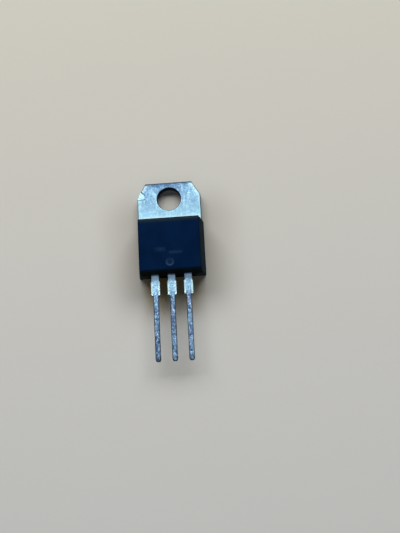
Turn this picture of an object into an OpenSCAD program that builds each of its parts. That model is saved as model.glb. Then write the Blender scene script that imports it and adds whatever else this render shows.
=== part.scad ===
// Triac in a through-hole power package, lying on its metal back.
// The origin is on the axis of the mounting hole, in the plane of the back.
// +Z points to the marked face, +Y to the far end of the tab, and the leads run along -Y.

/* [Tab] */
// Width of the tab
tab_w = 10.05; // [9.9:0.05:10.15]
// Thickness of the tab
tab_t = 1.3; // [1.2:0.02:1.4]
// Length of tab that the body leaves bare
tab_bare = 6.45; // [6.2:0.05:6.6]
// Distance from the centre of the hole to the far end of the tab
hole_to_end = 2.75; // [2.6:0.05:2.95]
// Diameter of the mounting hole
hole_d = 3.8; // [3.6:0.05:3.9]
// Width cut off each far corner of the tab
corner_w = 1.35; // [1:0.05:1.6]
// Length cut off each far corner of the tab
corner_l = 2.25; // [1.8:0.05:2.5]
// Width of the stamped edge break round the tab and the hole
edge_break = 0.07; // [0.04:0.01:0.1]

/* [Dent in the left cut corner] */
// Length of the dent along the tab's left side
dent_l = 1.35; // [0.8:0.05:1.5]
// Width of the dent from the tab's left side
dent_w = 1.15; // [0.8:0.05:1.4]
// Depth of the step on the dent's inner side
dent_step = 0.05; // [0.02:0.01:0.1]
// Slope of the dent's floor, in degrees
dent_slope = 10; // [6:1:16]

/* [Die pad under the body] */
// Width of the pad at its upper, wider part
pad_w = 8.9; // [8.6:0.05:9.2]
// Width of the step that the moulding grips, on each side
pad_lip = 0.3; // [0.2:0.05:0.4]
// Height of the step that the moulding grips
pad_lip_h = 0.5; // [0.4:0.05:0.6]
// Moulding left between the pad and the lead wall
pad_end_gap = 1.4; // [1.3:0.05:1.6]
// Distance of the coined groove from the tab face of the body
groove_in = 0.9; // [0.7:0.05:1.1]
// Width of the coined groove across the pad
groove_w = 0.5; // [0.3:0.05:0.6]
// Depth of the coined groove
groove_depth = 0.2; // [0.1:0.02:0.3]

/* [Moulded body] */
// Width at the back, where the side walls are widest apart
body_w = 10.5; // [10.3:0.05:10.6]
// Length from the tab face to the lead wall, at the parting line
body_l = 8.95; // [8.8:0.05:9.2]
// Height from the back to the marked face
body_h = 4.5; // [4.4:0.05:4.6]
// Draft of the two side walls, from the back to the marked face, in degrees
side_draft = 6.5; // [5:0.5:8]
// Draft of the two end walls above the parting line, in degrees
end_draft = 6; // [3:1:8]
// Draft of the lead wall below the parting line, in degrees
back_draft = 1; // [1:0.5:2]
// Bevel along the tab side of the marked face
face_bevel = 0.36; // [0.25:0.01:0.45]
// Rounding round the marked face
face_r = 0.12; // [0.06:0.01:0.16]
// Rounding of the body's upright edges
corner_r = 0.2; // [0.15:0.01:0.3]
// Diameter of the ejector mark at the marked face
mark_d = 1.4; // [1.2:0.05:1.6]
// Diameter of the ejector mark at its floor
mark_floor_d = 0.8; // [0.6:0.05:1]
// Depth of the ejector mark
mark_depth = 0.14; // [0.08:0.01:0.2]
// Distance of the ejector mark's centre from the lead wall
mark_in = 1.5; // [1.3:0.05:2]

/* [Leads] */
// Distance between the centres of neighbouring leads
lead_pitch = 2.54; // [2.5:0.01:2.6]
// Thickness of the lead strip
lead_t = 0.5; // [0.45:0.01:0.55]
// Height of the leads' underside above the back
lead_z = 2.3; // [2.2:0.02:2.4]
// Length of each lead outside the body
lead_l = 13.45; // [13:0.05:14]
// Width of the thin part that enters a board
lead_w = 0.84; // [0.65:0.01:0.88]
// Width of the neck next to the body
neck_w = 1.16; // [1:0.02:1.24]
// Length of the neck next to the body
neck_l = 0.95; // [0.8:0.05:1.1]
// Width of the stubs left by the cut tie bar
stub_w = 1.4; // [1.35:0.01:1.5]
// Distance from the body to the end of the stubs
stub_end = 3.2; // [3:0.05:3.6]
// Length over which a lead changes its width
shoulder_l = 0.25; // [0.2:0.05:0.4]
// Length of the rounded tip
tip_l = 0.5; // [0.4:0.05:0.9]
// Share of the width and thickness left at the very tip
tip_share = 0.42; // [0.3:0.02:0.6]
// Rounding along the edges of the leads where they are wide
lead_edge = 0.1; // [0.05:0.01:0.14]
// Rounding along the edges of the leads where the solder dip has rounded them
dip_edge = 0.17; // [0.1:0.01:0.2]

/* [Lead ends inside the body] */
// Straight length between the lead wall and the first bend or step
root_in = 0.3; // [0.25:0.05:0.4]
// Width of the bonding paddle on each outer lead
paddle_w = 2.3; // [2.2:0.05:2.4]
// Length of the bonding paddle
paddle_l = 1.45; // [1.4:0.05:1.6]
// Diameter of the anchor hole in each paddle
anchor_d = 0.5; // [0.4:0.05:0.55]
// Angle of the centre lead's joggle, in degrees
joggle_angle = 60; // [50:1:65]
// Radius of the joggle's bends, on the middle of the strip
joggle_r = 0.42; // [0.36:0.02:0.44]
// Width of the centre lead's foot on the pad
foot_w = 3; // [2.8:0.1:3.4]
// Length of the centre lead's foot
foot_l = 1.5; // [1.4:0.05:1.7]
// Diameter of the two rivets that the pad stakes through the foot
rivet_d = 0.8; // [0.7:0.05:0.9]
// Diameter of the rivets' heads
rivet_head_d = 1.15; // [1.05:0.05:1.25]
// Height of the rivets' heads
rivet_head_h = 0.15; // [0.1:0.01:0.2]
// Distance between the rivets
rivet_pitch = 1.7; // [1.5:0.05:1.8]

/* [Die and bond wires] */
// Side of the square silicon die
die_w = 3.6; // [3.2:0.1:4]
// Thickness of the die
die_t = 0.3; // [0.24:0.02:0.36]
// Thickness of the solder under the die
solder_t = 0.06; // [0.04:0.01:0.1]
// Width of the solder's fillet round the die
solder_fillet = 0.15; // [0.1:0.01:0.2]
// Gap between the foot of the centre lead and the die
die_gap = 0.4; // [0.35:0.05:0.6]
// Distance of the passivated moat from the edge of the die
moat_in = 0.18; // [0.14:0.01:0.24]
// Width of the moat
moat_w = 0.2; // [0.14:0.01:0.24]
// Depth of the moat
moat_depth = 0.06; // [0.04:0.01:0.08]
// Diameter of the two main bond wires
main_wire_d = 0.38; // [0.3:0.01:0.4]
// Distance between the two main bond wires
main_wire_pitch = 0.85; // [0.8:0.01:0.9]
// Diameter of the gate bond wire
gate_wire_d = 0.2; // [0.15:0.01:0.25]
// Height of the wires' loops over the line between their ends
loop_h = 1.1; // [0.9:0.05:1.2]

/* [Hidden] */
$fn = 48;

TIN = [0.70, 0.76, 0.82];
EPOXY = [0.05, 0.07, 0.12];
SOLDER = [0.60, 0.61, 0.63];
SILICON = [0.30, 0.31, 0.36];
ALUMINIUM = [0.80, 0.81, 0.82];

through = 1;          // how far a cutter runs past the face that it cuts
corner_steps = 4;     // facets on each rounded upright edge of the body
round_steps = 3;      // facets on the rounding of the marked face
bend_steps = 5;       // facets on each bend of the centre lead
tip_steps = 5;        // facets on the rounding of a lead's tip
edge_steps = 3;       // facets on each rounded edge of a lead
wire_sides = 10;      // facets round a bond wire
wire_steps = 26;      // rings along a bond wire

tab_end = hole_to_end;                        // y of the far end of the tab
body_y = tab_end - tab_bare;                  // y where the body meets the tab's face
wall_y = body_y - body_l;                     // y of the lead wall at the parting line
parting_z = lead_z + lead_t / 2;              // the mould parts at the middle of the leads
pad_y = wall_y + pad_end_gap;                 // y of the pad's end
lead_mid_z = lead_z + lead_t / 2;             // middle of the strip outside
foot_mid_z = tab_t + lead_t / 2;              // middle of the strip where it lies on the pad
joggle_drop = lead_mid_z - foot_mid_z;
joggle_slope_l = (joggle_drop - 2 * joggle_r * (1 - cos(joggle_angle))) / sin(joggle_angle);
joggle_run = 2 * joggle_r * sin(joggle_angle) + joggle_slope_l * cos(joggle_angle);
foot_y = wall_y + root_in + joggle_run;       // y where the foot starts
foot_end_y = foot_y + foot_l;
rivet_y = foot_y + foot_l / 2;
paddle_y = wall_y + root_in;                  // y where the paddles start
die_y = foot_end_y + die_gap + die_w / 2;     // y of the die's centre
solder_z = tab_t;
die_z = solder_z + solder_t;
die_top = die_z + die_t;
paddle_top = lead_z + lead_t;

// ---- Shapes made from rings of points ----

// Triangles that join ring after ring and close both ends. Every ring has the same number of
// points, in the same turning sense.
module skin(rings) {
    n = len(rings[0]);
    last = len(rings) - 1;
    sides = [for (k = [0 : last - 1], i = [0 : n - 1]) let (j = (i + 1) % n)
        each [[k * n + i, (k + 1) * n + i, (k + 1) * n + j],
              [k * n + i, (k + 1) * n + j, k * n + j]]];
    first_cap = [for (i = [1 : n - 2]) [0, i, i + 1]];
    last_cap = [for (i = [1 : n - 2]) [last * n, last * n + i + 1, last * n + i]];
    polyhedron(points = [for (r = rings) each r], faces = concat(sides, first_cap, last_cap));
}

// A rectangle with rounded corners at height z, anticlockwise from above.
function rounded_ring(z, half_w, y0, y1, r) =
    [for (c = [[half_w - r, y1 - r, 0], [-half_w + r, y1 - r, 90],
               [-half_w + r, y0 + r, 180], [half_w - r, y0 + r, 270]],
          k = [0 : corner_steps])
        let (a = c[2] + 90 * k / corner_steps)
        [c[0] + r * cos(a), c[1] + r * sin(a), z]];

// Cross-section of the lead strip: a flat rectangle with rounded edges, tilted in the YZ plane.
// A station is [y, z, tilt, width, thickness, rounding].
function strip_ring(x, s) =
    let (w = s[3] / 2, t = s[4] / 2, r = s[5])
    [for (c = [[w - r, t - r, 90], [w - r, -t + r, 0], [-w + r, -t + r, -90], [-w + r, t - r, -180]],
          k = [0 : edge_steps])
        let (a = c[2] - 90 * k / edge_steps, u = c[0] + r * cos(a), v = c[1] + r * sin(a))
        [x + u, s[0] - v * sin(s[2]), s[1] + v * cos(s[2])]];

module strip(x, stations) {
    skin([for (s = stations) strip_ring(x, s)]);
}

// ---- Leads ----

// Stations of the part of a lead outside the body, from the tip to the lead wall.
function outer_stations() =
    let (y_tip = wall_y - lead_l, z = lead_mid_z, t = lead_t)
    concat(
        [for (k = [0 : tip_steps])
            let (a = 90 * k / tip_steps, s = tip_share + (1 - tip_share) * sin(a))
            [y_tip + tip_l * (1 - cos(a)), z, 0, lead_w * s, t * s, dip_edge * s]],
        [[wall_y - stub_end - shoulder_l, z, 0, lead_w, t, dip_edge],
         [wall_y - stub_end, z, 0, stub_w, t, lead_edge],
         [wall_y - neck_l - shoulder_l, z, 0, stub_w, t, lead_edge],
         [wall_y - neck_l, z, 0, neck_w, t, lead_edge],
         [wall_y, z, 0, neck_w, t, lead_edge]]);

// The bonding paddle of an outer lead, level with the lead.
function paddle_stations() =
    let (z = lead_mid_z, t = lead_t, e = lead_edge)
    [[paddle_y, z, 0, neck_w, t, e],
     [paddle_y + e, z, 0, paddle_w, t, e],
     [paddle_y + paddle_l, z, 0, paddle_w, t, e]];

// The joggle and foot of the centre lead, down to the pad.
function joggle_stations() =
    let (y0 = wall_y + root_in, b = joggle_angle, r = joggle_r, t = lead_t, e = lead_edge,
         y1 = y0 + r * sin(b), z1 = lead_mid_z - r * (1 - cos(b)),
         y2 = y1 + joggle_slope_l * cos(b), z2 = z1 - joggle_slope_l * sin(b))
    concat(
        [for (k = [0 : bend_steps]) let (a = b * k / bend_steps)
            [y0 + r * sin(a), lead_mid_z - r * (1 - cos(a)), -a, neck_w, t, e]],
        [for (k = [0 : bend_steps]) let (a = b * (1 - k / bend_steps))
            [y2 + r * (sin(b) - sin(a)), z2 - r * (cos(a) - cos(b)), -a, neck_w, t, e]],
        [[foot_y + e, foot_mid_z, 0, foot_w, t, e],
         [foot_end_y, foot_mid_z, 0, foot_w, t, e]]);

module outer_lead(x) {
    color(TIN) difference() {
        strip(x, concat(outer_stations(), paddle_stations()));
        translate([x, paddle_y + anchor_d, lead_z - through])
            cylinder(d = anchor_d, h = lead_t + 2 * through);
    }
}

module mt1_lead() { outer_lead(-lead_pitch); }

module gate_lead() { outer_lead(lead_pitch); }

// The centre lead before its foot is punched for the rivets.
module mt2_strip() {
    strip(0, concat(outer_stations(), joggle_stations()));
}

module mt2_lead() {
    color(TIN) difference() {
        mt2_strip();
        for (side = [-1, 1])
            translate([side * rivet_pitch / 2, rivet_y, tab_t - through])
                cylinder(d = rivet_d, h = lead_t + 2 * through);
    }
}

// ---- Tab and die pad ----

// Outline of the bare tab, drawn in by e on every side but the one at the body.
function tab_ring(z, e) =
    let (w = tab_w / 2 - e, slant = norm([corner_w, corner_l]),
         x_in = tab_w / 2 - corner_w - e * (slant - corner_w) / corner_l,
         y_in = tab_end - corner_l - e * (slant - corner_l) / corner_w)
    [[w, body_y, z], [w, y_in, z], [x_in, tab_end - e, z],
     [-x_in, tab_end - e, z], [-w, y_in, z], [-w, body_y, z]];

module bare_tab() {
    skin([tab_ring(0, edge_break), tab_ring(edge_break, 0),
          tab_ring(tab_t - edge_break, 0), tab_ring(tab_t, edge_break)]);
}

// The pad has a narrower back, so the moulding reaches under its rim and holds it.
module die_pad() {
    difference() {
        union() {
            translate([-pad_w / 2, pad_y, pad_lip_h])
                cube([pad_w, body_y - pad_y + edge_break, tab_t - pad_lip_h]);
            translate([-pad_w / 2 + pad_lip, pad_y + pad_lip, 0])
                cube([pad_w - 2 * pad_lip, body_y - pad_y - pad_lip + edge_break,
                      pad_lip_h + edge_break]);
        }
        coined_groove();
    }
}

module coined_groove() {
    translate([-pad_w / 2 - through, body_y - groove_in, tab_t])
        rotate([0, 90, 0])
            linear_extrude(pad_w + 2 * through)
                polygon([[groove_depth, 0], [0, groove_w / 2], [-through, groove_w / 2],
                         [-through, -groove_w / 2], [0, -groove_w / 2]]);
}

// Rivets that are part of the pad, staked over the centre lead's foot.
module rivets() {
    for (side = [-1, 1])
        translate([side * rivet_pitch / 2, rivet_y, 0]) {
            translate([0, 0, tab_t / 2])
                cylinder(d = rivet_d, h = tab_t / 2 + lead_t + rivet_head_h / 2);
            translate([0, 0, tab_t + lead_t])
                cylinder(d1 = rivet_head_d, d2 = rivet_d, h = rivet_head_h);
        }
}

module mounting_hole() {
    translate([0, 0, -through])
        cylinder(d = hole_d, h = tab_t + 2 * through);
    translate([0, 0, tab_t - edge_break])
        cylinder(d1 = hole_d, d2 = hole_d + 2 * (edge_break + through), h = edge_break + through);
}

// A knock on the left cut corner: a small step down, then a floor that slopes to the tab's edge.
module dent() {
    out = dent_w + through;
    translate([-tab_w / 2 + dent_w, tab_end - corner_l, tab_t - dent_step])
        rotate([0, -dent_slope, 0])
            linear_extrude(through)
                polygon([[0, dent_l / 3], [-out, dent_l / 3 + out], [-out, -dent_l / 4],
                         [-dent_w / 8, -dent_l / 4]]);
}

module tab_header() {
    color(TIN) difference() {
        union() {
            bare_tab();
            die_pad();
            rivets();
        }
        mounting_hole();
        dent();
    }
}

// ---- Die ----

module square_slab(side, z, h) {
    translate([-side / 2, die_y - side / 2, z])
        cube([side, side, h]);
}

module die_solder() {
    base = die_w / 2 + solder_fillet;
    color(SOLDER)
        skin([for (p = [[solder_z, base], [solder_z + solder_t, die_w / 2 + solder_t]])
            [[p[1], die_y - p[1], p[0]], [p[1], die_y + p[1], p[0]],
             [-p[1], die_y + p[1], p[0]], [-p[1], die_y - p[1], p[0]]]]);
}

module triac_die() {
    outer = die_w - 2 * moat_in;
    color(SILICON) difference() {
        square_slab(die_w, die_z, die_t);
        difference() {
            square_slab(outer, die_top - moat_depth, moat_depth + through);
            square_slab(outer - 2 * moat_w, die_z, die_t + 2 * through);
        }
    }
}

// ---- Bond wires ----

function smooth(t) = t * t * (3 - 2 * t);

// Section of a wire at share t of its length. The wire is pressed flat where it is bonded.
// Its underside leaves the die at z0, rises in a loop and comes down on the paddle at z1.
function wire_ring(a, b, z0, z1, d, t) =
    let (dir = (b - a) / norm(b - a), side = [-dir[1], dir[0]],
         foot = 1.6 * d / norm(b - a),
         u = max(0, min(1, (t - foot) / (1 - 2 * foot))),
         full = smooth(min(1, 5 * min(u, 1 - u))),
         half_w = d * (0.72 - 0.22 * full), half_h = d * (0.26 + 0.24 * full),
         under = z0 + (z1 - z0) * smooth(u) + loop_h * pow(sin(180 * u), 2),
         slope = (z1 - z0) * 6 * u * (1 - u) / (norm(b - a) * (1 - 2 * foot))
                 + loop_h * PI * sin(360 * u) / (norm(b - a) * (1 - 2 * foot)),
         tilt = atan(slope), p = a + (b - a) * t)
    [for (k = [0 : wire_sides - 1])
        let (q = 360 * k / wire_sides, s = half_w * cos(q), h = half_h * sin(q))
        [p[0] + side[0] * s - dir[0] * h * sin(tilt),
         p[1] + side[1] * s - dir[1] * h * sin(tilt),
         under + half_h * cos(180 / wire_sides) + h * cos(tilt)]];

module bond_wire(a, b, d) {
    color(ALUMINIUM)
        skin([for (k = [0 : wire_steps]) wire_ring(a, b, die_top, paddle_top, d, k / wire_steps)]);
}

// Bonds lie on the far part of a paddle, clear of its anchor hole.
bond_y = paddle_y + paddle_l - 1.2 * main_wire_d;

module mt1_wire(side) {
    x = -lead_pitch + side * main_wire_pitch / 2;
    bond_wire([-die_w / 5 + side * main_wire_pitch / 2, die_y + die_w / 8], [x, bond_y], main_wire_d);
}

module mt1_wire_left() { mt1_wire(-1); }

module mt1_wire_right() { mt1_wire(1); }

module gate_wire() {
    pad = die_w / 2 - moat_in - moat_w - 1.5 * gate_wire_d;
    bond_wire([pad, die_y - pad + die_w / 8], [lead_pitch, bond_y], gate_wire_d);
}

// ---- Body ----

// Outline of the moulding at height z. in is how far the rounding draws it in.
function body_ring(z, in) =
    let (up = max(0, z - parting_z), down = max(0, parting_z - z),
         half_w = body_w / 2 - z * tan(side_draft) - in,
         lead_side = wall_y + up * tan(end_draft) + down * tan(back_draft) + in,
         tab_side = body_y - max(0, z - tab_t) * tan(end_draft) - max(0, z - body_h + face_bevel))
    rounded_ring(z, half_w, lead_side, tab_side, corner_r);

module body_block() {
    skin(concat(
        [body_ring(0, 0), body_ring(tab_t, 0), body_ring(parting_z, 0),
         body_ring(body_h - face_bevel, 0)],
        [for (k = [0 : round_steps]) let (a = 90 * k / round_steps)
            body_ring(body_h - face_r * (1 - sin(a)), face_r * (1 - cos(a)))]));
}

module ejector_mark() {
    translate([0, wall_y + mark_in, body_h - mark_depth])
        cylinder(d1 = mark_floor_d, d2 = mark_d, h = mark_depth);
    translate([0, wall_y + mark_in, body_h])
        cylinder(d = mark_d, h = through);
}

module body() {
    color(EPOXY) difference() {
        body_block();
        ejector_mark();
        tab_header();
        mt1_lead();
        mt2_strip();
        gate_lead();
        die_solder();
        triac_die();
        mt1_wire_left();
        mt1_wire_right();
        gate_wire();
    }
}

tab_header();
mt1_lead();
mt2_lead();
gate_lead();
die_solder();
triac_die();
mt1_wire_left();
mt1_wire_right();
gate_wire();
body();
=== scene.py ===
import math
import bpy
from mathutils import Matrix, Vector


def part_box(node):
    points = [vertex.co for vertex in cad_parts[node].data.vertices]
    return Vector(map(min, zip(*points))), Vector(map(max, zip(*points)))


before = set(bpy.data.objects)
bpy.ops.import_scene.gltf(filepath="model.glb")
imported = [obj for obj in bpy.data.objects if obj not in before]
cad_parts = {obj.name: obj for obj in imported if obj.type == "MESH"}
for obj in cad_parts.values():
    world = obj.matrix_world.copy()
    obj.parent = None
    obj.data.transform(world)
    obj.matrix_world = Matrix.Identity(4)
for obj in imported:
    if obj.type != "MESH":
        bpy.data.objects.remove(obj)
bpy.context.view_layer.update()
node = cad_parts
scene = bpy.context.scene
MM = 0.001

# ---------------------------------------------------------------- camera

EYE = Vector((10.26, -42.72, 121.43)) * MM
AIM = Vector((4.31, -11.10, 0.0)) * MM
UP = Vector((0.0664, 0.9664, 0.2484))
FOCAL_PX = 800                     # focal length in pixels of the 400 by 533 photograph
FRAME_PX = 533                     # its long side
SENSOR_W = 36
CLIP_NEAR, CLIP_FAR = 0.01, 10     # metres

camera = bpy.data.objects.new("camera", bpy.data.cameras.new("camera"))
scene.collection.objects.link(camera)
forward = (AIM - EYE).normalized()
right = forward.cross(UP).normalized()
up = right.cross(forward)
camera.matrix_world = Matrix.Translation(EYE) @ Matrix((right, up, -forward)).transposed().to_4x4()
camera.data.sensor_fit = "AUTO"
camera.data.sensor_width = SENSOR_W
camera.data.lens = FOCAL_PX / FRAME_PX * SENSOR_W
camera.data.clip_start = CLIP_NEAR
camera.data.clip_end = CLIP_FAR
scene.camera = camera

scene.view_settings.view_transform = "Standard"

# ---------------------------------------------------------------- node helpers


def link(tree, value, socket):
    """Feeds a socket from another socket, or sets it from a plain value."""
    if isinstance(value, bpy.types.NodeSocket):
        tree.links.new(value, socket)
    else:
        socket.default_value = value


def position(tree):
    """The point on the object in millimetres."""
    coord = tree.nodes.new("ShaderNodeTexCoord")
    scaled = tree.nodes.new("ShaderNodeVectorMath")
    scaled.operation = "SCALE"
    tree.links.new(coord.outputs["Object"], scaled.inputs[0])
    scaled.inputs["Scale"].default_value = 1 / MM
    return scaled.outputs[0]


def axes(tree, vector):
    """The three coordinates of a point."""
    split = tree.nodes.new("ShaderNodeSeparateXYZ")
    tree.links.new(vector, split.inputs[0])
    return split.outputs


def stretch(tree, vector, x, y, shift):
    """The point in a space squeezed by x and y; a noise read there is drawn out the other way."""
    mapping = tree.nodes.new("ShaderNodeMapping")
    tree.links.new(vector, mapping.inputs["Vector"])
    mapping.inputs["Scale"].default_value = (x, y, 1.0)
    mapping.inputs["Location"].default_value = (shift, shift, shift)
    return mapping.outputs[0]


def noise(tree, vector, scale, detail, rough, warp=0.0):
    """Soft noise between 0 and 1, with scale cells in a millimetre."""
    tex = tree.nodes.new("ShaderNodeTexNoise")
    tree.links.new(vector, tex.inputs["Vector"])
    tex.inputs["Scale"].default_value = scale
    tex.inputs["Detail"].default_value = detail
    tex.inputs["Roughness"].default_value = rough
    tex.inputs["Distortion"].default_value = warp
    return tex.outputs["Fac"]


def calc(tree, operation, a, b=0.0, c=None):
    """One math node. Each of a, b and c is a socket or a plain value."""
    n = tree.nodes.new("ShaderNodeMath")
    n.operation = operation
    link(tree, a, n.inputs[0])
    link(tree, b, n.inputs[1])
    if c is not None:
        link(tree, c, n.inputs[2])
    return n.outputs[0]


def minus(tree, a, b):
    return calc(tree, "SUBTRACT", a, b)


def absolute(tree, a):
    return calc(tree, "ABSOLUTE", a)


def least(tree, a, b):
    return calc(tree, "MINIMUM", a, b)


def most(tree, a, b):
    return calc(tree, "MAXIMUM", a, b)


def scale_add(tree, a, factor, b):
    """a times factor, plus b."""
    return calc(tree, "MULTIPLY_ADD", a, factor, b)


def product(tree, *factors):
    """Product of several masks."""
    result = factors[0]
    for factor in factors[1:]:
        result = calc(tree, "MULTIPLY", result, factor)
    return result


def hypot(tree, a, b):
    """Length of the diagonal of a and b."""
    squares = calc(tree, "ADD", calc(tree, "POWER", a, 2.0), calc(tree, "POWER", b, 2.0))
    return calc(tree, "SQRT", squares)


def step(tree, value, low, high, to_low=0.0, to_high=1.0):
    """Smooth step of value from to_low at low to to_high at high."""
    n = tree.nodes.new("ShaderNodeMapRange")
    n.interpolation_type = "SMOOTHSTEP"
    link(tree, value, n.inputs["Value"])
    limits = (("From Min", low), ("From Max", high), ("To Min", to_low), ("To Max", to_high))
    for name, number in limits:
        n.inputs[name].default_value = number
    return n.outputs[0]


def blend(tree, factor, a, b):
    """a where the factor is 0, b where it is 1."""
    n = tree.nodes.new("ShaderNodeMix")
    n.data_type = "RGBA"
    link(tree, factor, n.inputs[0])
    for value, socket in ((a, n.inputs[6]), (b, n.inputs[7])):
        link(tree, (*value, 1.0) if isinstance(value, tuple) else value, socket)
    return n.outputs[2]


def coat(tree, under, colour, mask, strength=1.0):
    """Lays a colour over what is there already, where the mask is 1."""
    if strength < 1.0:
        mask = product(tree, mask, strength)
    return blend(tree, mask, under, colour)


def bump(tree, height, depth, under=None):
    """Relief of the given depth in millimetres."""
    n = tree.nodes.new("ShaderNodeBump")
    n.inputs["Strength"].default_value = 1.0
    n.inputs["Distance"].default_value = depth * MM
    link(tree, height, n.inputs["Height"])
    if under is not None:
        link(tree, under, n.inputs["Normal"])
    return n.outputs[0]


def relief(tree, *layers):
    """Relief of several layers, each a height and its depth in millimetres."""
    normal = None
    for height, depth in layers:
        normal = bump(tree, height, depth, normal)
    return normal


def new_material(name):
    material = bpy.data.materials.new(name)
    material.use_nodes = True
    tree = material.node_tree
    return material, tree, tree.nodes["Principled BSDF"]


def paint(obj, material):
    """Gives a CAD node one material on all of its slots."""
    if not obj.data.materials:
        obj.data.materials.append(material)
    for i in range(len(obj.data.materials)):
        obj.data.materials[i] = material


# ---------------------------------------------------------------- named values of the looks
#
# Lengths are in millimetres and colours are linear. A pair of limits says where a mask begins
# and where it is full, on a noise (named _NOISE) or along a distance. A pair of colours goes
# from the first to the second over the limits that are named with it.

TAB_LO, TAB_HI = (Vector(c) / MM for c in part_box("tab_header"))
LEAD_LO, LEAD_HI = (Vector(c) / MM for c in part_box("mt2_lead"))
BODY_LO, BODY_HI = (Vector(c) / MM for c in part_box("body"))
WALL = BODY_LO.y                   # the wall that the leads leave by
FACE = BODY_HI.y                   # where the body covers the tab

# ---------------------------------------------------------------- tinned tab

CORNER_W, CORNER_L = 1.35, 2.25    # cut corners
SLANT = math.hypot(CORNER_W, CORNER_L)
DENT_W, DENT_UP, DENT_DOWN = 1.15, 0.45, 0.34
HOLE_R = 1.9
BARE_L = TAB_HI.y - FACE           # from the tab's end to the body

# plated metal: dark and pale blotches, by the tab's end and by the body; their blue cast is a
# painted reflection of blue sky light, as tinned copper itself is grey
TIN_FAR = (0.150, 0.290, 0.505), (0.220, 0.415, 0.630)
TIN_NEAR = (0.200, 0.370, 0.555), (0.262, 0.475, 0.655)
TIN_BLOTCH_NOISE = (0.36, 0.66)
NEAR_FROM_END, NEAR_WANDER = (1.4, 4.6), 2.0
GATE_SIDE = (0.5, 2.5)             # x
# painted highlight: the tin is painted paler towards the body
NEAR_BODY_HIGHLIGHT, NEAR_BODY_HIGHLIGHT_FROM_END, NEAR_BODY_HIGHLIGHT_STRENGTH = (0.370, 0.690, 0.880), (3.3, 6.0), 0.55
STRIP_HIGHLIGHT, STRIP_HIGHLIGHT_STRENGTH = (0.560, 0.780, 0.840), 0.62      # painted highlight: a bright strip along the body
STRIP_HIGHLIGHT_FROM_END = (BARE_L - 1.15, BARE_L - 0.55)

# dapples and flecks, which grow calmer towards the body and the gate's side
CALM_FROM_END, CALM_GATE_SHIFT = (2.2, 4.6), 1.2
LIVELY, CALM = 0.85, 0.50
DAPPLE, DAPPLE_NOISE, DAPPLE_STRENGTH = (0.130, 0.265, 0.490), (0.48, 0.64), 0.75
STREAK, STREAK_NOISE, STREAK_STRENGTH = (0.420, 0.720, 0.840), (0.48, 0.64), 0.60
FLECK, FLECK_NOISE, FLECK_STRENGTH = (0.450, 0.740, 0.830), (0.55, 0.64), 0.70

# stains from the far end and over the hole
STAIN = (0.055, 0.115, 0.230)
DRIP_REACH, DRIP_FRONT, DRIP_STRENGTH = -3.4, (-0.75, -1.55), 0.85
DRIP_GATE_X, DRIP_AT_GATE = (3.6, 2.4), 0.30
HOLE_STAIN_RING, HOLE_STAIN_Y = (HOLE_R + 0.9, HOLE_R + 0.1), (0.3, 1.5)
HOLE_STAIN_NOISE, HOLE_STAIN_STRENGTH = (0.36, 0.60), 0.70
SPECKLE, SPECKLE_STRENGTH = (0.060, 0.120, 0.190), 0.75
SPECKLE_NOISE, SPECKLE_FROM_END = (0.54, 0.62), (1.5, 0.5)
# painted highlight on the hole's lower rim
HOLE_RIM_HIGHLIGHT, HOLE_RIM_HIGHLIGHT_STRENGTH = (0.420, 0.680, 0.780), 0.5
HOLE_RIM_HIGHLIGHT_RING, HOLE_RIM_HIGHLIGHT_Y = (HOLE_R + 0.26, HOLE_R + 0.12), (0.4, -0.6)
# painted shade on the hole's punched wall
HOLE_WALL_SHADE, HOLE_WALL_SHADE_RING = (0.030, 0.055, 0.110), (HOLE_R + 0.09, HOLE_R + 0.05)

# edges: painted highlights along the sides, the cut corners and the upper left corner, and painted
# shade along the flanks
EDGE_HIGHLIGHT = (0.480, 0.740, 0.840)
CUT_HIGHLIGHT_W, CUT_HIGHLIGHT, CUT_HIGHLIGHT_GATE = (0.85, 0.25), 0.28, 0.40
SIDE_HIGHLIGHT_W, SIDE_HIGHLIGHT = (0.34, 0.16), 0.50
HIGHLIGHT_FROM_END, HIGHLIGHT_NOISE, HIGHLIGHT_LEAST = (0.1, 0.5), (0.32, 0.52), 0.45
LEFT_HIGHLIGHT, LEFT_HIGHLIGHT_STRENGTH = (0.440, 0.620, 0.720), 0.65
LEFT_HIGHLIGHT_W, LEFT_HIGHLIGHT_X = (0.70, 0.30), (-2.9, -3.5)
LEFT_HIGHLIGHT_START, LEFT_HIGHLIGHT_STOP = (0.15, 0.5), (1.6, 1.0)
END_LINE, END_LINE_W, END_LINE_STRENGTH = (0.035, 0.060, 0.095), (0.28, 0.12), 0.9
FLANK_SHADE, FLANK_SHADE_W, FLANK_SHADE_STRENGTH = (0.050, 0.095, 0.110), (0.15, 0.07), 0.85

# the dent: a painted highlight on its floor and painted shadow along its steps
DENT_HIGHLIGHT, DENT_HIGHLIGHT_STRENGTH = ((0.440, 0.680, 0.780), (0.330, 0.560, 0.680)), 0.92
DENT_HIGHLIGHT_NOISE, DENT_HIGHLIGHT_DEPTH, DENT_HIGHLIGHT_Z = (0.42, 0.58), (0.02, 0.10), (0.85, 1.00)
DENT_SHADOW, DENT_SHADOW_STRENGTH = (0.045, 0.115, 0.190), 0.85
DENT_SHADOW_W, DENT_SHADOW_Z = (0.15, 0.05), (0.8, 0.9)
DENT_SHADOW_UPPER, DENT_SHADOW_LOWER = (0.15, 0.40), (-0.18, -0.28)

TIN_ROUGH, TIN_ROUGH_GRAIN = 0.24, 0.18
TIN_BLOTCH_DEPTH, TIN_GRAIN_DEPTH, TIN_FINE_DEPTH = 0.025, 0.009, 0.003


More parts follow.
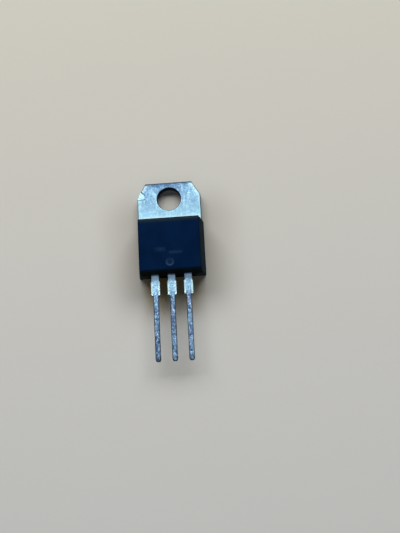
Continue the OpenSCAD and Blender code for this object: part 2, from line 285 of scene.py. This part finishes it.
def tab_tin():
    material, tree, shader = new_material("tab_tin")
    p = position(tree)
    x, y, z = axes(tree, p)
    side = minus(tree, TAB_HI.x, absolute(tree, x))
    end = minus(tree, TAB_HI.y, y)
    cut = scale_add(tree, side, CORNER_L / SLANT,
                    product(tree, minus(tree, end, CORNER_L), CORNER_W / SLANT))
    flank = least(tree, cut, side)
    to_gate = step(tree, x, *GATE_SIDE)
    blotch = noise(tree, p, scale=1.1, detail=4, rough=0.6, warp=0.6)
    grain = noise(tree, p, scale=4.2, detail=4, rough=0.65, warp=0.4)
    fine = noise(tree, p, scale=22, detail=2, rough=0.6)
    uneven = noise(tree, p, scale=2.4, detail=4, rough=0.7, warp=0.8)
    spots = noise(tree, p, scale=6.5, detail=3, rough=0.6)
    streak = noise(tree, stretch(tree, p, x=3.2, y=0.6, shift=0.0), scale=1.1, detail=3, rough=0.6)
    fleck = noise(tree, stretch(tree, p, x=1.5, y=0.8, shift=9.0),
                  scale=3.0, detail=3, rough=0.6, warp=0.6)
    drip = noise(tree, stretch(tree, p, x=2.6, y=1.1, shift=5.0),
                 scale=0.9, detail=4, rough=0.7, warp=0.5)

    # plated metal, darker and more violet towards the far end, with a blue cast that is a painted
    # reflection of blue sky light
    pale = step(tree, blotch, *TIN_BLOTCH_NOISE)
    near = step(tree, scale_add(tree, blotch, NEAR_WANDER, end), *NEAR_FROM_END)
    tin = blend(tree, near, blend(tree, pale, *TIN_FAR), blend(tree, pale, *TIN_NEAR))
    calm = step(tree, scale_add(tree, to_gate, CALM_GATE_SHIFT, end), *CALM_FROM_END, LIVELY, CALM)
    dapples = product(tree, step(tree, grain, *DAPPLE_NOISE), calm)
    tin = coat(tree, tin, DAPPLE, dapples, DAPPLE_STRENGTH)
    tin = coat(tree, tin, STREAK, step(tree, streak, *STREAK_NOISE), STREAK_STRENGTH)
    flecks = product(tree, step(tree, fleck, *FLECK_NOISE), calm)
    tin = coat(tree, tin, FLECK, flecks, FLECK_STRENGTH)
    # painted highlights: paler tin towards the body and a bright strip along it
    tin = coat(tree, tin, NEAR_BODY_HIGHLIGHT, step(tree, end, *NEAR_BODY_HIGHLIGHT_FROM_END), NEAR_BODY_HIGHLIGHT_STRENGTH)
    tin = coat(tree, tin, STRIP_HIGHLIGHT, step(tree, end, *STRIP_HIGHLIGHT_FROM_END), STRIP_HIGHLIGHT_STRENGTH)

    # stains that creep in from the far end and gather over the hole
    from_hole = hypot(tree, x, y)
    creep = product(tree, step(tree, scale_add(tree, drip, DRIP_REACH, end), *DRIP_FRONT),
                    step(tree, x, *DRIP_GATE_X, DRIP_AT_GATE, 1.0), DRIP_STRENGTH)
    over_hole = product(tree, step(tree, from_hole, *HOLE_STAIN_RING), step(tree, y, *HOLE_STAIN_Y),
                        step(tree, uneven, *HOLE_STAIN_NOISE), HOLE_STAIN_STRENGTH)
    tin = coat(tree, tin, STAIN, most(tree, creep, over_hole))
    speckles = product(tree, step(tree, spots, *SPECKLE_NOISE), step(tree, end, *SPECKLE_FROM_END))
    tin = coat(tree, tin, SPECKLE, speckles, SPECKLE_STRENGTH)
    # a painted highlight on the hole's lower rim
    hole_rim_highlight = product(tree, step(tree, from_hole, *HOLE_RIM_HIGHLIGHT_RING), step(tree, y, *HOLE_RIM_HIGHLIGHT_Y))
    tin = coat(tree, tin, HOLE_RIM_HIGHLIGHT, hole_rim_highlight, HOLE_RIM_HIGHLIGHT_STRENGTH)

    # edges: painted highlights along the sides, the cut corners and the upper left corner, painted
    # shade along the flanks, and a dark line along the far end
    on_cut = product(tree, step(tree, cut, *CUT_HIGHLIGHT_W),
                     scale_add(tree, to_gate, CUT_HIGHLIGHT_GATE, CUT_HIGHLIGHT))
    on_side = product(tree, step(tree, side, *SIDE_HIGHLIGHT_W), SIDE_HIGHLIGHT)
    edge_highlight = product(tree, most(tree, on_cut, on_side), step(tree, end, *HIGHLIGHT_FROM_END),
                    step(tree, uneven, *HIGHLIGHT_NOISE, HIGHLIGHT_LEAST, 1.0))
    tin = coat(tree, tin, EDGE_HIGHLIGHT, edge_highlight)
    left_highlight = product(tree, step(tree, flank, *LEFT_HIGHLIGHT_W), step(tree, x, *LEFT_HIGHLIGHT_X),
                         step(tree, end, *LEFT_HIGHLIGHT_START), step(tree, end, *LEFT_HIGHLIGHT_STOP))
    tin = coat(tree, tin, LEFT_HIGHLIGHT, left_highlight, LEFT_HIGHLIGHT_STRENGTH)
    tin = coat(tree, tin, END_LINE, step(tree, end, *END_LINE_W), END_LINE_STRENGTH)
    tin = coat(tree, tin, FLANK_SHADE, step(tree, flank, *FLANK_SHADE_W), FLANK_SHADE_STRENGTH)

    # the dent: a painted highlight on its floor inside a painted shadow line along its steps
    in_x = minus(tree, x, TAB_LO.x + DENT_W)
    in_y = minus(tree, y, TAB_HI.y - CORNER_L)
    upper = product(tree, minus(tree, minus(tree, DENT_UP, in_x), in_y), math.sqrt(0.5))
    lower = calc(tree, "ADD", in_y, DENT_DOWN)
    inner = product(tree, in_x, -1.0)
    depth = least(tree, least(tree, upper, lower), inner)
    dent_highlight = product(tree, step(tree, depth, *DENT_HIGHLIGHT_DEPTH), step(tree, z, *DENT_HIGHLIGHT_Z))
    dent_highlight_tone = blend(tree, step(tree, grain, *DENT_HIGHLIGHT_NOISE), *DENT_HIGHLIGHT)
    tin = coat(tree, tin, dent_highlight_tone, dent_highlight, DENT_HIGHLIGHT_STRENGTH)
    dent_shadow = product(tree, step(tree, absolute(tree, depth), *DENT_SHADOW_W),
                        step(tree, z, *DENT_SHADOW_Z),
                        most(tree, step(tree, in_y, *DENT_SHADOW_UPPER),
                             step(tree, in_y, *DENT_SHADOW_LOWER)))
    tin = coat(tree, tin, DENT_SHADOW, dent_shadow, DENT_SHADOW_STRENGTH)

    # the hole's punched wall, painted dark as shade
    tin = coat(tree, tin, HOLE_WALL_SHADE, step(tree, from_hole, *HOLE_WALL_SHADE_RING))
    link(tree, tin, shader.inputs["Base Color"])
    shader.inputs["Metallic"].default_value = 1.0
    link(tree, scale_add(tree, grain, TIN_ROUGH_GRAIN, TIN_ROUGH), shader.inputs["Roughness"])
    link(tree, relief(tree, (blotch, TIN_BLOTCH_DEPTH), (grain, TIN_GRAIN_DEPTH),
                      (fine, TIN_FINE_DEPTH)), shader.inputs["Normal"])
    return material


# ---------------------------------------------------------------- solder-dipped leads

# the solder's blue cast, on every part of the leads, is a painted reflection of blue sky light
PITCH = 2.54
STUB_END = 3.2                     # distance from the body to the end of the wide part
NECK_L = 0.95
THIN_W = 0.84                      # width of the part that enters a board
TIP_R = THIN_W / 2

# the thin part: dark and pale blotches, patches, pits, glints and long tones
DULL = (0.050, 0.105, 0.200), (0.205, 0.360, 0.560)
DULL_NOISE = (0.40, 0.60)
PATCH, PATCH_NOISE, PATCH_STRENGTH = (0.340, 0.480, 0.720), (0.50, 0.64), 0.85
PIT, PIT_NOISE, PIT_STRENGTH = (0.030, 0.060, 0.135), (0.49, 0.40), 0.75
GLINT, GLINT_NOISE, GLINT_STRENGTH = (0.600, 0.720, 0.900), (0.58, 0.65), 0.60
LONG_PALE, LONG_PALE_NOISE, LONG_PALE_STRENGTH = (0.215, 0.400, 0.600), (0.54, 0.64), 0.60
LONG_DARK, LONG_DARK_NOISE, LONG_DARK_STRENGTH = (0.070, 0.115, 0.230), (0.46, 0.36), 0.55
THIN_EDGE_SHADE, THIN_EDGE_SHADE_STRENGTH = (0.022, 0.040, 0.075), 0.90
THIN_EDGE_SHADE_AT, THIN_EDGE_SHADE_WANDER = (THIN_W / 2 - 0.12, THIN_W / 2 + 0.04), 0.16
THIN_EDGE_SHADE_SIDE, THIN_EDGE_SHADE_LIT = (0.10, -0.10), 0.75    # painted shade, weaker on the lit side

# the wide part
BRIGHT = (0.265, 0.500, 0.750), (0.360, 0.630, 0.840)
BRIGHT_NOISE = (0.35, 0.62)
MOTTLED_X, LEFT_MOTTLED, GATE_MOTTLED = (-1.8, 2.2), 0.10, 0.75
MOTTLE, MOTTLE_NOISE = (0.110, 0.230, 0.400), (0.50, 0.40)
VEIL, VEIL_STRENGTH = (0.170, 0.320, 0.520), 0.16
# painted highlight along both sides of the wide part
BAND_HIGHLIGHT, BAND_HIGHLIGHT_ACROSS, BAND_HIGHLIGHT_OUT = (0.500, 0.720, 0.790), (0.36, 0.46), (NECK_L + 0.05, NECK_L + 0.3)
BAND_HIGHLIGHT_NOISE, BAND_HIGHLIGHT_LEAST = (0.30, 0.46), 0.5
# painted shade on the side walls of the wide part
WIDE_FLANK_SHADE, WIDE_FLANK_SHADE_STRENGTH = (0.030, 0.050, 0.055), 0.8
WIDE_FLANK_SHADE_Z = (LEAD_HI.z - 0.13, LEAD_HI.z - 0.22)
STUB_OUT = (STUB_END + 0.12, STUB_END + 0.02)
DRIFT_OUT, DRIFT_WANDER = (STUB_END + 0.4, STUB_END + 1.1), 2.4
DRIFT_ACROSS, DRIFT_STRENGTH = (0.5, 0.35), 0.75

# the neck, with painted shade at its root, and the tip
NECK, NECK_OUT = (0.425, 0.670, 0.980), (NECK_L + 0.9, 0.1)
NECK_NOISE, NECK_LEAST, NECK_MOST = (0.40, 0.55), 0.45, 0.90
ROOT_SHADE, ROOT_SHADE_OUT, ROOT_SHADE_STRENGTH = (0.030, 0.045, 0.080), (0.30, 0.08), 0.85
CRUST, CRUST_STRENGTH = (0.012, 0.020, 0.032), 0.95
CRUST_RING, CRUST_FROM_TIP = (0.22, 0.36), (0.9, 0.4)

SOLDER_ROUGH, SOLDER_ROUGH_PATCH = 0.24, 0.25
SOLDER_BLOTCH_DEPTH, SOLDER_PATCH_DEPTH = 0.07, 0.035
SOLDER_FLECK_DEPTH, SOLDER_GRAIN_DEPTH = 0.015, 0.006


def lead_solder():
    material, tree, shader = new_material("lead_solder")
    p = position(tree)
    x, y, z = axes(tree, p)
    local = calc(tree, "WRAP", x, PITCH / 2, -PITCH / 2)
    across = absolute(tree, local)
    out = minus(tree, WALL, y)
    from_tip = minus(tree, y, LEAD_LO.y)
    blotch = noise(tree, p, scale=1.7, detail=4, rough=0.65, warp=0.9)
    patch = noise(tree, stretch(tree, p, x=1.0, y=0.7, shift=7.0),
                  scale=3.6, detail=3, rough=0.6, warp=0.5)
    fleck = noise(tree, stretch(tree, p, x=1.0, y=0.6, shift=3.0),
                  scale=3.9, detail=3, rough=0.6, warp=0.5)
    long_tone = noise(tree, stretch(tree, p, x=1.0, y=0.30, shift=2.0),
                      scale=0.9, detail=2, rough=0.5)
    grain = noise(tree, p, scale=13, detail=3, rough=0.6)

    # the thin part: grey-blue solder, mottled, with painted shade along its edges
    dull = blend(tree, step(tree, blotch, *DULL_NOISE), *DULL)
    dull = coat(tree, dull, PATCH, step(tree, patch, *PATCH_NOISE), PATCH_STRENGTH)
    dull = coat(tree, dull, PIT, step(tree, fleck, *PIT_NOISE), PIT_STRENGTH)
    dull = coat(tree, dull, GLINT, step(tree, fleck, *GLINT_NOISE), GLINT_STRENGTH)
    dull = coat(tree, dull, LONG_PALE, step(tree, long_tone, *LONG_PALE_NOISE), LONG_PALE_STRENGTH)
    dull = coat(tree, dull, LONG_DARK, step(tree, long_tone, *LONG_DARK_NOISE), LONG_DARK_STRENGTH)
    thin_edge_shade = product(tree, step(tree, scale_add(tree, blotch, THIN_EDGE_SHADE_WANDER, across),
                                   *THIN_EDGE_SHADE_AT),
                        step(tree, local, *THIN_EDGE_SHADE_SIDE, THIN_EDGE_SHADE_LIT, 1.0))
    dull = coat(tree, dull, THIN_EDGE_SHADE, thin_edge_shade, THIN_EDGE_SHADE_STRENGTH)

    # the wide part: smoothest on the left lead, with a painted highlight along both sides and
    # painted shade on its side walls
    bright = blend(tree, step(tree, patch, *BRIGHT_NOISE), *BRIGHT)
    mottled = step(tree, x, *MOTTLED_X, LEFT_MOTTLED, GATE_MOTTLED)
    mottles = product(tree, step(tree, fleck, *MOTTLE_NOISE), mottled)
    bright = coat(tree, bright, MOTTLE, mottles)
    bright = coat(tree, bright, VEIL, mottled, VEIL_STRENGTH)
    band = product(tree, step(tree, across, *BAND_HIGHLIGHT_ACROSS), step(tree, out, *BAND_HIGHLIGHT_OUT),
                   step(tree, blotch, *BAND_HIGHLIGHT_NOISE, BAND_HIGHLIGHT_LEAST, 1.0))
    bright = coat(tree, bright, BAND_HIGHLIGHT, band)
    bright = coat(tree, bright, WIDE_FLANK_SHADE, step(tree, z, *WIDE_FLANK_SHADE_Z), WIDE_FLANK_SHADE_STRENGTH)
    stub = step(tree, out, *STUB_OUT)
    tin = blend(tree, stub, dull, bright)
    drift = product(tree, step(tree, scale_add(tree, blotch, DRIFT_WANDER, out), *DRIFT_OUT), stub,
                    step(tree, across, *DRIFT_ACROSS))
    tin = coat(tree, tin, dull, drift, DRIFT_STRENGTH)

    # the neck is bluer, with painted shade at its root by the wall, and the dipped tip has a dark
    # outline
    neck = product(tree, step(tree, out, *NECK_OUT),
                   step(tree, fleck, *NECK_NOISE, NECK_LEAST, NECK_MOST))
    tin = coat(tree, tin, NECK, neck)
    tin = coat(tree, tin, ROOT_SHADE, step(tree, out, *ROOT_SHADE_OUT), ROOT_SHADE_STRENGTH)
    from_ball = hypot(tree, across, least(tree, minus(tree, from_tip, TIP_R), 0.0))
    crust = product(tree, step(tree, from_ball, *CRUST_RING), step(tree, from_tip, *CRUST_FROM_TIP))
    tin = coat(tree, tin, CRUST, crust, CRUST_STRENGTH)
    link(tree, tin, shader.inputs["Base Color"])
    shader.inputs["Metallic"].default_value = 1.0
    link(tree, scale_add(tree, patch, SOLDER_ROUGH_PATCH, SOLDER_ROUGH), shader.inputs["Roughness"])
    link(tree, relief(tree, (blotch, SOLDER_BLOTCH_DEPTH), (patch, SOLDER_PATCH_DEPTH),
                      (fleck, SOLDER_FLECK_DEPTH), (grain, SOLDER_GRAIN_DEPTH)),
         shader.inputs["Normal"])
    return material


# ---------------------------------------------------------------- moulded epoxy

DRAFT, BEVEL = math.radians(6), 0.36
MARK_Y = BODY_LO.y + 1.5           # centre of the ejector mark
RIM_Y = BODY_HI.y - BODY_HI.z * math.tan(DRAFT) - BEVEL      # where the face meets its bevel

# the navy of the moulding is a painted reflection of blue sky light on black epoxy
MOULDING = (0.0004, 0.0072, 0.033), (0.0008, 0.0096, 0.041)
MOULDING_NOISE = (0.35, 0.65)
SPECK, SPECK_NOISE, SPECK_STRENGTH = (0.010, 0.022, 0.050), (0.66, 0.78), 0.5
ON_FACE_Z = (BODY_HI.z - 0.3, BODY_HI.z - 0.2)

# the ejector mark, with a painted highlight ring on its slope
DISC, DISC_R, DISC_STRENGTH = (0.010, 0.033, 0.082), (0.74, 0.58), 0.35
RING_HIGHLIGHT, RING_HIGHLIGHT_R, RING_HIGHLIGHT_STRENGTH = (0.028, 0.066, 0.128), (0.26, 0.50), 0.38
CENTRE, CENTRE_R, CENTRE_STRENGTH = (0.001, 0.010, 0.040), (0.28, 0.10), 0.50

# two faint bars: x of both ends, y of the middle, half the width across
BAR, BAR_NOISE = (0.014, 0.036, 0.080), (0.20, 0.60)
LEFT_BAR = {"from_x": -2.3, "to_x": -0.7, "middle_y": -9.15, "half_w": 0.46, "strength": 0.66}
RIGHT_BAR = {"from_x": -0.1, "to_x": 2.0, "middle_y": -9.7, "half_w": 0.36, "strength": 0.52}
BAR_END_BLUR, BAR_SIDE_BLUR = 0.2, 0.3

# rims of the face: a painted highlight on the tab side's bevel and painted shade on the rim over
# the leads
TAB_BEVEL_HIGHLIGHT, TAB_BEVEL_HIGHLIGHT_Y = (0.0095, 0.0180, 0.0310), (RIM_Y - 0.40, RIM_Y + 0.05)
LEAD_RIM_SHADE, LEAD_RIM_SHADE_STRENGTH = (0.0010, 0.0030, 0.0060), 0.8
LEAD_RIM_SHADE_Y = (BODY_LO.y + 0.65, BODY_LO.y + 0.25)
BRINK, BRINK_STRENGTH = (0.0005, 0.0030, 0.0120), 0.6
BRINK_X = (BODY_HI.x - 0.72, BODY_HI.x - 0.58)

# walls: painted light from the floor on the side walls and the low corners
END_WALL, LOW_CORNER_BOUNCE = (0.0020, 0.0030, 0.0026), (0.0300, 0.0270, 0.0220)
LOW_CORNER_BOUNCE_Z, LOW_CORNER_BOUNCE_X = (2.2, 0.8), (3.2, 4.4)
SIDE_WALL = (0.0055, 0.0130, 0.0230), (0.0140, 0.0260, 0.0360)
SIDE_WALL_NOISE = (0.30, 0.72)
SIDE_WALL_X, SIDE_WALL_Z = (BODY_HI.x - 0.62, BODY_HI.x - 0.52), (4.1, 3.2)

MOULDING_SPECULAR = 0.06
# the blue specular tint stands in for blue sky light in the reflections
MOULDING_TINT = (0.10, 0.45, 1.0, 1.0)
WALL_ROUGH, FACE_ROUGH = 0.88, 0.58
MOULDING_GRAIN_DEPTH, SPECK_DEPTH = 0.010, 0.005


def epoxy():
    material, tree, shader = new_material("epoxy")
    p = position(tree)
    x, y, z = axes(tree, p)
    cloud = noise(tree, p, scale=0.35, detail=3, rough=0.5)
    worn = noise(tree, p, scale=0.6, detail=2, rough=0.5)
    dust = noise(tree, p, scale=0.9, detail=5, rough=0.6)
    grain = noise(tree, p, scale=14, detail=3, rough=0.6)
    speck = noise(tree, p, scale=30, detail=1, rough=0.5)
    on_face = step(tree, z, *ON_FACE_Z)
    beside = absolute(tree, x)
    tone = blend(tree, step(tree, cloud, *MOULDING_NOISE), *MOULDING)
    tone = coat(tree, tone, SPECK, step(tree, speck, *SPECK_NOISE), SPECK_STRENGTH)

    # the ejector pin leaves a smoother disc, painted paler here, with a darker centre; the ring on
    # the dimple's slope is a painted highlight
    from_mark = hypot(tree, x, minus(tree, y, MARK_Y))
    disc = product(tree, step(tree, from_mark, *DISC_R), on_face)
    ring = product(tree, disc, step(tree, from_mark, *RING_HIGHLIGHT_R))
    centre = product(tree, on_face, step(tree, from_mark, *CENTRE_R))
    tone = coat(tree, tone, DISC, disc, DISC_STRENGTH)
    tone = coat(tree, tone, RING_HIGHLIGHT, ring, RING_HIGHLIGHT_STRENGTH)
    tone = coat(tree, tone, CENTRE, centre, CENTRE_STRENGTH)

    # what is left of a rubbed marking: two plain bars
    for bar in (LEFT_BAR, RIGHT_BAR):
        off = absolute(tree, minus(tree, y, bar["middle_y"]))
        mask = product(tree, step(tree, off, bar["half_w"], bar["half_w"] - BAR_SIDE_BLUR),
                       step(tree, x, bar["from_x"] - BAR_END_BLUR, bar["from_x"] + BAR_END_BLUR),
                       step(tree, x, bar["to_x"] + BAR_END_BLUR, bar["to_x"] - BAR_END_BLUR),
                       on_face, step(tree, worn, *BAR_NOISE))
        tone = coat(tree, tone, BAR, mask, bar["strength"])

    # a greyish painted highlight on the tab side's bevel, painted shade on the rim over the leads,
    # and dark rims along the sides
    tone = coat(tree, tone, TAB_BEVEL_HIGHLIGHT, product(tree, step(tree, y, *TAB_BEVEL_HIGHLIGHT_Y), on_face))
    tone = coat(tree, tone, LEAD_RIM_SHADE, step(tree, y, *LEAD_RIM_SHADE_Y), LEAD_RIM_SHADE_STRENGTH)
    brink = product(tree, step(tree, beside, *BRINK_X), on_face)
    tone = coat(tree, tone, BRINK, brink, BRINK_STRENGTH)

    # the walls are greyer than the face; the side walls are lighter still, partly a dusty grain and
    # partly painted light from the floor, and the low corners of the end walls carry painted light
    # bounced from the floor
    aside = product(tree, step(tree, beside, *SIDE_WALL_X), step(tree, z, *SIDE_WALL_Z))
    low = product(tree, step(tree, z, *LOW_CORNER_BOUNCE_Z), step(tree, beside, *LOW_CORNER_BOUNCE_X))
    wall = blend(tree, aside, blend(tree, low, END_WALL, LOW_CORNER_BOUNCE),
                 blend(tree, step(tree, dust, *SIDE_WALL_NOISE), *SIDE_WALL))
    tone = blend(tree, minus(tree, 1.0, on_face), tone, wall)
    link(tree, tone, shader.inputs["Base Color"])
    shader.inputs["Specular IOR Level"].default_value = MOULDING_SPECULAR
    shader.inputs["Specular Tint"].default_value = MOULDING_TINT
    link(tree, scale_add(tree, on_face, FACE_ROUGH - WALL_ROUGH, WALL_ROUGH),
         shader.inputs["Roughness"])
    link(tree, relief(tree, (grain, MOULDING_GRAIN_DEPTH), (speck, SPECK_DEPTH)),
         shader.inputs["Normal"])
    return material


# ---------------------------------------------------------------- inner metals

SHADE = 0.7                        # of the grain's dark parts
METAL_NOISE = (0.35, 0.65)
METAL_ROUGH_GRAIN, METAL_GRAIN_DEPTH = 0.2, 0.01


def plain_metal(name, colour, rough, scale):
    """Inner pieces: a metal with a fine uneven grain."""
    material, tree, shader = new_material(name)
    p = position(tree)
    grain = noise(tree, p, scale, detail=3, rough=0.6)
    dark = tuple(SHADE * c for c in colour)
    tone = blend(tree, step(tree, grain, *METAL_NOISE), dark, colour)
    link(tree, tone, shader.inputs["Base Color"])
    shader.inputs["Metallic"].default_value = 1.0
    link(tree, scale_add(tree, grain, METAL_ROUGH_GRAIN, rough), shader.inputs["Roughness"])
    link(tree, bump(tree, grain, METAL_GRAIN_DEPTH), shader.inputs["Normal"])
    return material


tab_material = tab_tin()
lead_material = lead_solder()
wire_material = plain_metal("bond_wire_metal", (0.80, 0.81, 0.83), rough=0.25, scale=12)
solder_material = plain_metal("die_solder_metal", (0.55, 0.56, 0.58), rough=0.4, scale=6)
die_material = plain_metal("die_silicon", (0.26, 0.27, 0.32), rough=0.2, scale=3)

paint(node["tab_header"], tab_material)
for name in ("mt1_lead", "mt2_lead", "gate_lead"):
    paint(node[name], lead_material)
for name in ("mt1_wire_left", "mt1_wire_right", "gate_wire"):
    paint(node[name], wire_material)
paint(node["die_solder"], solder_material)
paint(node["triac_die"], die_material)
paint(node["body"], epoxy())

# ---------------------------------------------------------------- floor and lights

BODY_MID_Y = (BODY_LO.y + BODY_HI.y) / 2
BODY_HALF_L = (BODY_HI.y - BODY_LO.y) / 2
ROOM_COLOUR = (1.0, 0.985, 0.945, 1.0)
ROOM_LEVEL = 0.50
SHADE_LEVEL = 0.015                # what the surroundings add to the light itself
FLOOR_M = 3.0

PAPER_NEAR, PAPER_FAR, PAPER_Y = (0.596, 0.604, 0.606), (0.590, 0.585, 0.527), (-55.0, 45.0)
PAPER_CLOUD, PAPER_CLOUD_STRENGTH = (0.50, 0.49, 0.46), 0.12
# painted shadow close to the moulding
NEAR_SHADE, NEAR_SHADE_AWAY, NEAR_SHADE_STRENGTH = (0.30, 0.285, 0.240), (8.0, 0.0), 0.50
LEAD_SHADE = (0.34, 0.23, 0.035), (0.38, 0.33, 0.17)    # painted warm shade under the left leads and the right ones
LEAD_SHADE_SIDE, LEAD_SHADE_X, LEAD_SHADE_STRENGTH = (-0.6, 0.8), (5.2, 3.0), 0.74
LEAD_SHADE_START, LEAD_SHADE_STOP = (WALL - 8.0, WALL - 0.3), (WALL + 2.0, WALL + 1.0)
PAPER_ROUGH, PAPER_SPECULAR, PAPER_DEPTH = 0.9, 0.1, 0.01
ROOM_REACH = (70.0, 260.0)


def seen(tree):
    """1 for rays of the camera and of reflections, 0 for the rays that light things."""
    rays = tree.nodes.new("ShaderNodeLightPath").outputs
    mirrored = most(tree, rays["Is Glossy Ray"], rays["Is Transmission Ray"])
    return most(tree, rays["Is Camera Ray"], mirrored)


def table_paper():
    material, tree, shader = new_material("table_paper")
    p = position(tree)
    x, y, _ = axes(tree, p)
    cloud = noise(tree, p, scale=0.05, detail=4, rough=0.6)
    fibre = noise(tree, p, scale=1.5, detail=3, rough=0.6)
    tone = blend(tree, step(tree, y, *PAPER_Y), PAPER_NEAR, PAPER_FAR)
    tone = coat(tree, tone, PAPER_CLOUD, cloud, PAPER_CLOUD_STRENGTH)

    # painted shadow: the floor is painted darker close to the moulding, and a warm brown painted
    # shade lies under the leads
    aside = most(tree, minus(tree, absolute(tree, x), BODY_HI.x), 0.0)
    beyond = minus(tree, absolute(tree, minus(tree, y, BODY_MID_Y)), BODY_HALF_L)
    away = hypot(tree, aside, most(tree, beyond, 0.0))
    tone = coat(tree, tone, NEAR_SHADE, step(tree, away, *NEAR_SHADE_AWAY), NEAR_SHADE_STRENGTH)
    under = product(tree, step(tree, absolute(tree, x), *LEAD_SHADE_X),
                    step(tree, y, *LEAD_SHADE_START), step(tree, y, *LEAD_SHADE_STOP))
    lead_shade = blend(tree, step(tree, x, *LEAD_SHADE_SIDE), *LEAD_SHADE)
    tone = coat(tree, tone, lead_shade, under, LEAD_SHADE_STRENGTH)
    link(tree, tone, shader.inputs["Base Color"])
    shader.inputs["Roughness"].default_value = PAPER_ROUGH
    shader.inputs["Specular IOR Level"].default_value = PAPER_SPECULAR
    link(tree, bump(tree, fibre, PAPER_DEPTH), shader.inputs["Normal"])

    # far from the part, eyes and metal see the pale room instead of an unlit floor
    pale = tree.nodes.new("ShaderNodeEmission")
    pale.inputs["Color"].default_value = ROOM_COLOUR
    pale.inputs["Strength"].default_value = ROOM_LEVEL
    mix = tree.nodes.new("ShaderNodeMixShader")
    far = step(tree, hypot(tree, x, y), *ROOM_REACH)
    link(tree, product(tree, far, seen(tree)), mix.inputs[0])
    tree.links.new(shader.outputs[0], mix.inputs[1])
    tree.links.new(pale.outputs[0], mix.inputs[2])
    tree.links.new(mix.outputs[0], tree.nodes["Material Output"].inputs["Surface"])
    return material


bpy.ops.mesh.primitive_plane_add(size=FLOOR_M, location=(0, 0, 0))
floor = bpy.context.object
floor.name = "floor"
floor.data.materials.append(table_paper())

MIDDLE = Vector((0, -10, 2)) * MM


def panel(name, azimuth, elevation, distance, width, height, power, colour):
    """A soft rectangular light that faces the part, with its distance and size in metres.
    Azimuth 0 is over the tab's end and 90 over the gate's side."""
    a, e = math.radians(azimuth), math.radians(elevation)
    toward = Vector((math.sin(a) * math.cos(e), math.cos(a) * math.cos(e), math.sin(e)))
    data = bpy.data.lights.new(name, "AREA")
    data.shape = "RECTANGLE"
    data.size, data.size_y = width, height
    data.energy = power
    data.color = colour
    obj = bpy.data.objects.new(name, data)
    obj.location = MIDDLE + toward * distance
    obj.rotation_mode = "QUATERNION"
    obj.rotation_quaternion = toward.to_track_quat("Z", "Y")
    scene.collection.objects.link(obj)


panel("window", azimuth=-2, elevation=41, distance=0.60, width=0.92, height=0.36, power=6.45,
      colour=(1.0, 0.985, 0.96))
panel("room", azimuth=182, elevation=36, distance=0.60, width=0.60, height=0.32, power=0.52,
      colour=(1.0, 0.97, 0.92))

world = scene.world or bpy.data.worlds.new("world")
scene.world = world
world.use_nodes = True
sky = world.node_tree
background = sky.nodes["Background"]
background.inputs["Color"].default_value = ROOM_COLOUR
link(sky, step(sky, seen(sky), 0.0, 1.0, SHADE_LEVEL, ROOM_LEVEL), background.inputs["Strength"])
